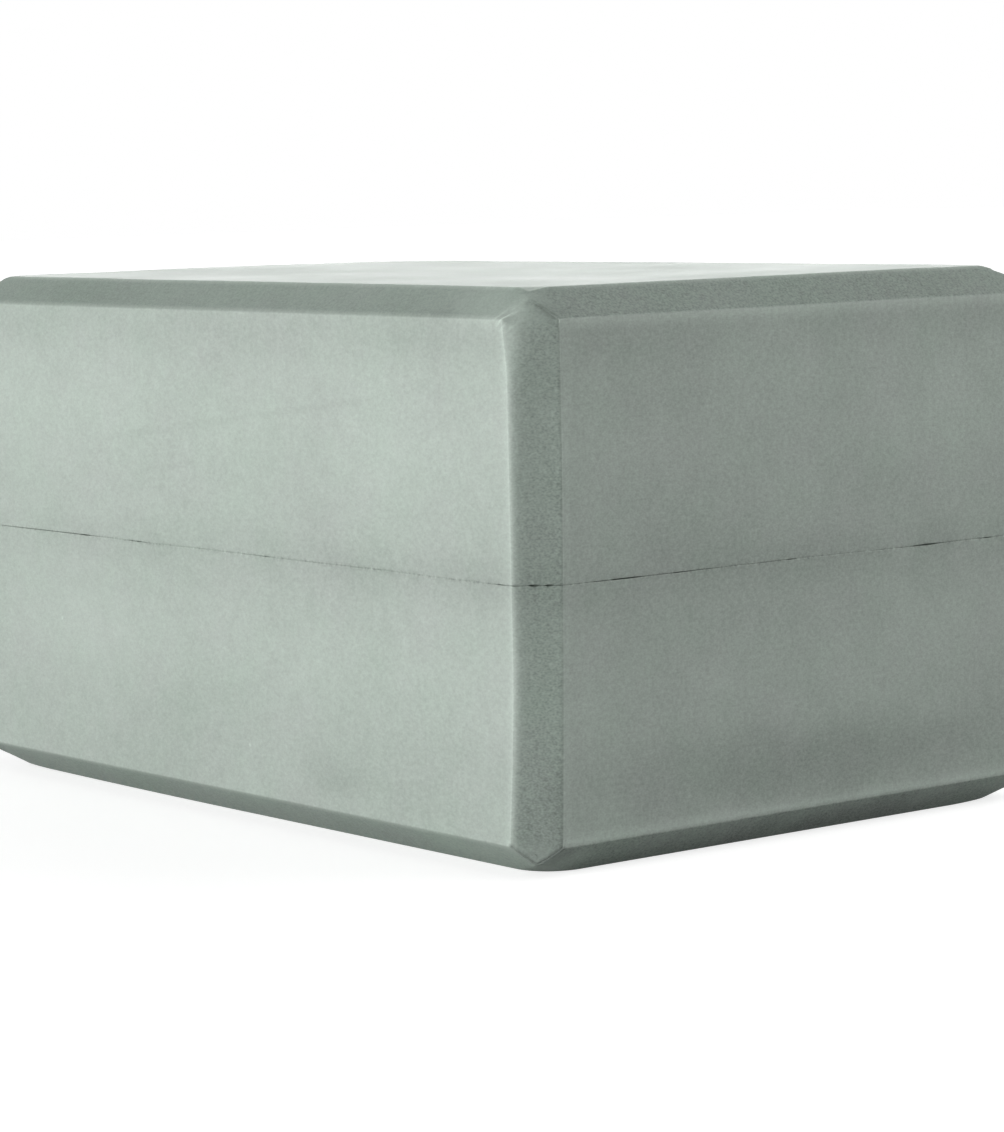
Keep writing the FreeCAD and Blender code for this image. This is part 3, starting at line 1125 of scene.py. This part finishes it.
def foam_material(colours, foam_grain, slow_mottle, soft_patch):
    """Sage foam: a pale skin on the faces, darker open cells on the cut bevels, stains, painted shade and
    highlights, and a fine grain.
    """
    sketch, shader, material = new_material("sage_foam")
    place = sketch.place_in_millimetres()
    along, across, height = sketch.add("ShaderNodeSeparateXYZ", {0: place}).outputs
    cut, worn, groove, seam = [sketch.mark(name) for name in (CUT_MARK, PALE_BORDER_MARK, GROOVE_SHADE_MARK, SEAM_MARK)]

    def mottle(where, size):
        return sketch.use(slow_mottle, Place=where, Cloud_Size=size)["Tone"]

    def patch(where, centre, reach):
        return sketch.use(soft_patch, Place=where, Centre=centre, Reach=reach)["Mask"]

    def by_height(mask, start, end):
        return sketch.times(mask, sketch.rise(height, start, end))

    grain = sketch.use(foam_grain, Place=sketch.vector("MULTIPLY", place, CELL_SQUEEZE), Cell_Size=CELL_SIZE)
    clouds = mottle(place, CLOUD_SIZE)
    hues = mottle(sketch.vector("ADD", place, HUE_SHIFT), HUE_SIZE)
    brushed = sketch.grain(sketch.vector("MULTIPLY", place, BRUSH_SQUEEZE), 1.0)
    speck_noise = sketch.grain(place, 1 / SPECK_SIZE, detail=1.0)
    out_along, out_across, out_up = [
        sketch.apart(value, middle / MM) for value, middle in zip((along, across, height), BLOCK_MIDDLE)]
    ends = sketch.rise(out_along, *END_ZONE)
    upright = sketch.times(cut, sketch.rise(sketch.math("ADD", out_along, out_across), *UPRIGHT_ZONE))
    long_rim = sketch.times(sketch.rise(out_across, *LONG_RIM_ZONE), sketch.rise(out_up, *RIM_LEVEL_ZONE))
    smooth = sketch.times(cut, long_rim)
    # Each term is a mask or a pattern, and how far it changes the tone.
    terms = []
    for name, (on_skin, *added) in GRAIN_LEVELS.items():
        terms.append((grain[name], sketch.total(on_skin, *zip((cut, ends, smooth), added))))
    terms += [
        # Painted shade on the upright bevels' feet, near the floor.
        (by_height(upright, *FOOT_ZONE), -0.13),
        # A painted highlight on the near bevel's shoulder.
        (patch(place, *SHOULDER_HIGHLIGHT), 0.2),
        # Painted light: lighter towards the top, darker towards the bottom.
        (sketch.rise(height, 0.0, UPPER_HIGH.z / MM, -1.0, 1.0), 0.03),
    ]
    # Painted shade on cut foam: near the floor, on the lower bevels and on the top rims.
    terms += [(by_height(cut, start, end), amount) for start, end, amount in CUT_PAINTED_SHADES]
    terms += [
        (sketch.times(patch(place, *TORN_SPOT), torn_strokes(sketch, along, height)), 0.25),
        (clouds, sketch.total(0.045, (ends, 0.035))),
        (mottle(place, FLECK_SIZE), 0.035),
        (by_height(brushed, *BRUSHED_ZONE), 0.02),
        # Darker foam along the glue line: partly glue stain, partly painted shade between the slabs.
        (seam_stain_and_shade(sketch, place, height), -0.11),
        (sketch.times(seam, sketch.rise(speck_noise, 0.0, 0.6)), -0.2),
        # Pale flecks on the seam's lip: a painted highlight.
        (sketch.times(seam, sketch.rise(speck_noise, -0.4, -0.9)), 0.25),
        (knife_arcs(sketch, along, across, height), -0.045),
        # Pale borders: partly rubbed wear, partly a painted edge highlight.
        (worn, 0.2),
        # Painted shade in the grooves, the creases at the bevels' feet and below the ledges.
        (sketch.times(groove, sketch.rise(speck_noise, -1.0, 0.6, 0.7, 1.0)), -0.4),
    ]
    ragged = ragged_place(sketch, place, RAGGED_SIZE)
    terms += [(patch(ragged, centre, reach), amount) for centre, reach, amount in SKIN_PATCHES]
    # Pale crumbs on the skin, and painted highlights on the seam's lip at the near bevel.
    terms += [(patch(place, centre, (radius,) * 3), 0.3) for *centre, radius in SKIN_CRUMBS_AND_GLINTS]
    tone = sketch.total(1.0, *terms)
    finish = sketch.add("ShaderNodeMixRGB", {
        "Fac": cut, "Color1": (*colours.foam, 1), "Color2": (*colours.cut_foam, 1)}).outputs["Color"]
    tinted = sketch.vector("MULTIPLY_ADD", hues, HUE_TINT, tone)
    relief = sketch.times(grain["Height"], sketch.total(0.4, (cut, 0.6)))
    sketch.fill(shader, {
        "Base Color": sketch.vector("MULTIPLY", finish, tinted),
        "Roughness": sketch.total(0.5, (cut, 0.25), (clouds, 0.06), (grain["Cells"], 0.04)),
        "Normal": sketch.bumps(relief, 0.015 * MM),
    })
    return material


def glue_material(colours, foam_grain, slow_mottle):
    """Dried contact cement: dull, uneven and a little lumpy."""
    sketch, shader, material = new_material("dried_glue")
    place = sketch.place_in_millimetres()
    grain = sketch.use(foam_grain, Place=place, Cell_Size=0.5)
    clouds = sketch.use(slow_mottle, Place=place, Cloud_Size=7.0)["Tone"]
    tone = sketch.total(1.0, (grain["Cells"], 0.12), (clouds, 0.25))
    paint = sketch.add("ShaderNodeVectorMath", {0: tuple(colours.glue), "Scale": tone}, operation="SCALE")
    sketch.fill(shader, {
        "Base Color": paint.outputs["Vector"],
        "Roughness": sketch.total(0.55, (clouds, 0.12)),
        "Normal": sketch.bumps(grain["Height"], 0.04 * MM),
    })
    return material


# The studio

def is_seen_directly(sketch):
    """A mask of the rays that show a surface itself: from the camera, or by a reflection or through glass."""
    path = sketch.add("ShaderNodeLightPath").outputs
    either = sketch.math("MAXIMUM", path["Is Camera Ray"], path["Is Glossy Ray"])
    return sketch.math("MAXIMUM", either, path["Is Transmission Ray"])


def make_camera(studio):
    data = bpy.data.cameras.new("camera")
    data.lens = studio.focal_pixels * data.sensor_width / max(PHOTO_WIDTH, PHOTO_HEIGHT)
    data.clip_start = 0.01
    camera = bpy.data.objects.new("camera", data)
    bpy.context.scene.collection.objects.link(camera)
    place, aim = Vector(studio.camera_place), Vector(studio.camera_aim)
    facing = (aim - place).to_track_quat("-Z", "Y").to_matrix()
    turn = Matrix.Rotation(studio.camera_roll, 3, "Z")
    camera.matrix_world = Matrix.Translation(place) @ (facing @ turn).to_4x4()
    bpy.context.scene.camera = camera


def make_softbox(name, direction, width, height, power):
    """A rectangular lamp in a direction from the block's middle, facing it."""
    data = bpy.data.lights.new(name, "AREA")
    data.shape = "RECTANGLE"
    data.size = width
    data.size_y = height
    data.energy = power
    lamp = bpy.data.objects.new(name, data)
    bpy.context.scene.collection.objects.link(lamp)
    lamp.location = BLOCK_MIDDLE + Vector(direction).normalized() * LAMP_DISTANCE
    lamp.rotation_euler = (BLOCK_MIDDLE - lamp.location).to_track_quat("-Z", "Y").to_euler()


def make_world(studio):
    """Even light all round; what is seen of it directly or by reflection is white."""
    world = bpy.data.worlds.new("studio")
    bpy.context.scene.world = world
    world.use_nodes = True
    sketch = NodeSketch(world.node_tree)
    lighting, output = [world.node_tree.nodes[name] for name in ("Background", "World Output")]
    sketch.fill(lighting, {"Color": WHITE, "Strength": studio.ambient})
    shown = sketch.add("ShaderNodeBackground", {"Color": WHITE, "Strength": 1.0})
    choice = sketch.add("ShaderNodeMixShader", {
        "Fac": is_seen_directly(sketch), 1: lighting.outputs[0], 2: shown.outputs[0]})
    sketch.fill(output, {"Surface": choice.outputs[0]})


def make_floor(colours):
    """A pale floor that the camera sees as white, apart from the block's shadow."""
    bpy.ops.object.select_all(action="DESELECT")
    bpy.ops.mesh.primitive_grid_add(
        x_subdivisions=8, y_subdivisions=8, size=FLOOR_SIZE, location=(0, 0, LOWER_LOW.z - FLOOR_DROP))
    floor = bpy.context.active_object
    floor.name = "studio_floor"
    bpy.ops.object.transform_apply(location=True, rotation=True, scale=True)
    sketch, shader, material = new_material("studio_floor")
    place = sketch.add("ShaderNodeTexCoord").outputs["Object"]
    away = sketch.vector("LENGTH", place, out="Value")
    glow = sketch.rise(away, *GLOW_FADE, colours.floor_glow, 1.0)
    sketch.fill(shader, {
        "Base Color": (*colours.floor, 1),
        "Roughness": 0.9,
        "Specular IOR Level": 0.1,
        "Emission Color": WHITE,
        "Emission Strength": sketch.times(is_seen_directly(sketch), glow),
    })
    floor.data.materials.append(material)


# Operators

class BLOCK_OT_foam_slabs(bpy.types.Operator):
    """Models the two foam slabs that stand for the CAD slabs"""

    bl_idname = "yoga_block.foam_slabs"
    bl_label = "Foam Slabs"

    def execute(self, context):
        sizes, colours, _ = settings()
        finish = foam_material(colours, foam_grain_group(), slow_mottle_group(), soft_patch_group())
        cage = make_bevelled_block(sizes)
        for node, bonded_height, up, radius in (
            ("upper_foam_slab", UPPER_LOW.z, 1, sizes.top_corner_radius),
            ("lower_foam_slab", LOWER_HIGH.z, -1, sizes.base_corner_radius),
        ):
            piece = make_slab(cage, f"{node}_foam", bonded_height, up, radius, sizes)
            piece.data.materials.append(finish)
            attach(piece, "root")
            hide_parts(node)
        bpy.data.objects.remove(cage)
        return {"FINISHED"}


class BLOCK_OT_adhesive_film(bpy.types.Operator):
    """Models the glue film that stands for the CAD film"""

    bl_idname = "yoga_block.adhesive_film"
    bl_label = "Adhesive Film"

    def execute(self, context):
        sizes, colours, _ = settings()
        piece = make_film("adhesive_film_glue", sizes)
        groups = bpy.data.node_groups
        piece.data.materials.append(glue_material(colours, groups["foam_grain"], groups["slow_mottle"]))
        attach(piece, "root")
        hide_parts("adhesive_film")
        return {"FINISHED"}


class BLOCK_OT_studio(bpy.types.Operator):
    """Sets the floor, the lamps, the white background and the camera"""

    bl_idname = "yoga_block.studio"
    bl_label = "Studio"

    def execute(self, context):
        _, colours, studio = settings()
        context.scene.view_settings.view_transform = "Standard"
        make_camera(studio)
        make_world(studio)
        make_floor(colours)
        for name, (direction, width, height) in SOFTBOXES.items():
            make_softbox(f"{name}_softbox", direction, width, height, getattr(studio, f"{name}_level"))
        return {"FINISHED"}


class BLOCK_PT_sidebar(bpy.types.Panel):
    """Lists the steps that build the block"""

    bl_idname = "BLOCK_PT_sidebar"
    bl_label = "Yoga Block"
    bl_space_type = "VIEW_3D"
    bl_region_type = "UI"
    bl_category = "Yoga Block"

    def draw(self, context):
        for operator in OPERATORS:
            self.layout.operator(operator.bl_idname)


OPERATORS = (BLOCK_OT_foam_slabs, BLOCK_OT_adhesive_film, BLOCK_OT_studio)
GROUPS = (
    ("foam_sizes", FoamSizes),
    ("block_colours", BlockColours),
    ("studio_settings", StudioSettings),
)


def register():
    for name, group in GROUPS:
        bpy.utils.register_class(group)
        setattr(bpy.types.Scene, name, PointerProperty(type=group))
    for operator in OPERATORS:
        bpy.utils.register_class(operator)
    bpy.utils.register_class(BLOCK_PT_sidebar)


def unregister():
    bpy.utils.unregister_class(BLOCK_PT_sidebar)
    for operator in reversed(OPERATORS):
        bpy.utils.unregister_class(operator)
    for name, group in reversed(GROUPS):
        delattr(bpy.types.Scene, name)
        bpy.utils.unregister_class(group)


def main():
    register()
    bpy.ops.yoga_block.foam_slabs()
    bpy.ops.yoga_block.adhesive_film()
    bpy.ops.yoga_block.studio()


if __name__ == "__main__":
    main()
